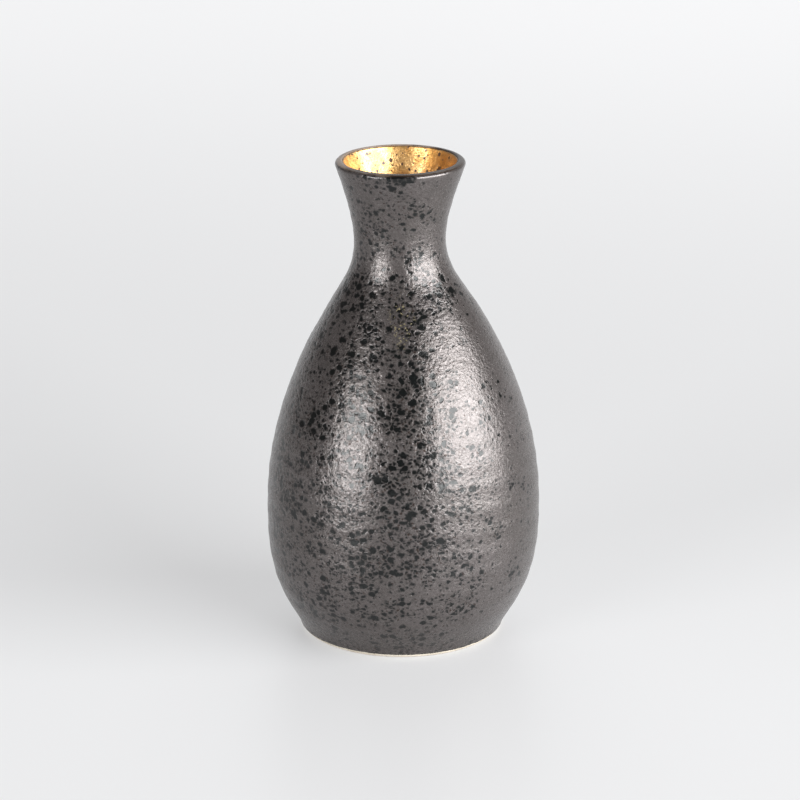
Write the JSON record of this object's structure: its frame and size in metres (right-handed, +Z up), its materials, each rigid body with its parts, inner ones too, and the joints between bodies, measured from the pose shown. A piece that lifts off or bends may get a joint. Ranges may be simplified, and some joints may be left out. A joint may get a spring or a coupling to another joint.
{
  "type": "sake bottle",
  "caption": "Pear-shaped ceramic sake bottle with a narrow neck, a flared mouth lined in gold, and a dark speckled iron glaze over a pale clay foot ring.",
  "frame": {"origin": "centre of the foot ring, on the surface the bottle stands on", "axes": "+Z up along the bottle's axis of revolution, from the foot to the mouth"},
  "size_m": [0.0794, 0.0794, 0.14],
  "materials": {
    "clay": "matte",
    "iron_glaze": "satin",
    "liner_glaze": "gloss",
    "gold": "satin",
    "base_glaze": "satin"
  },
  "bodies": {
    "root": {"clay_body": "clay", "outer_glaze": "iron_glaze", "inner_glaze": "liner_glaze", "gold_lining": "gold", "base_glaze": "base_glaze"}
  },
  "joints": []
}
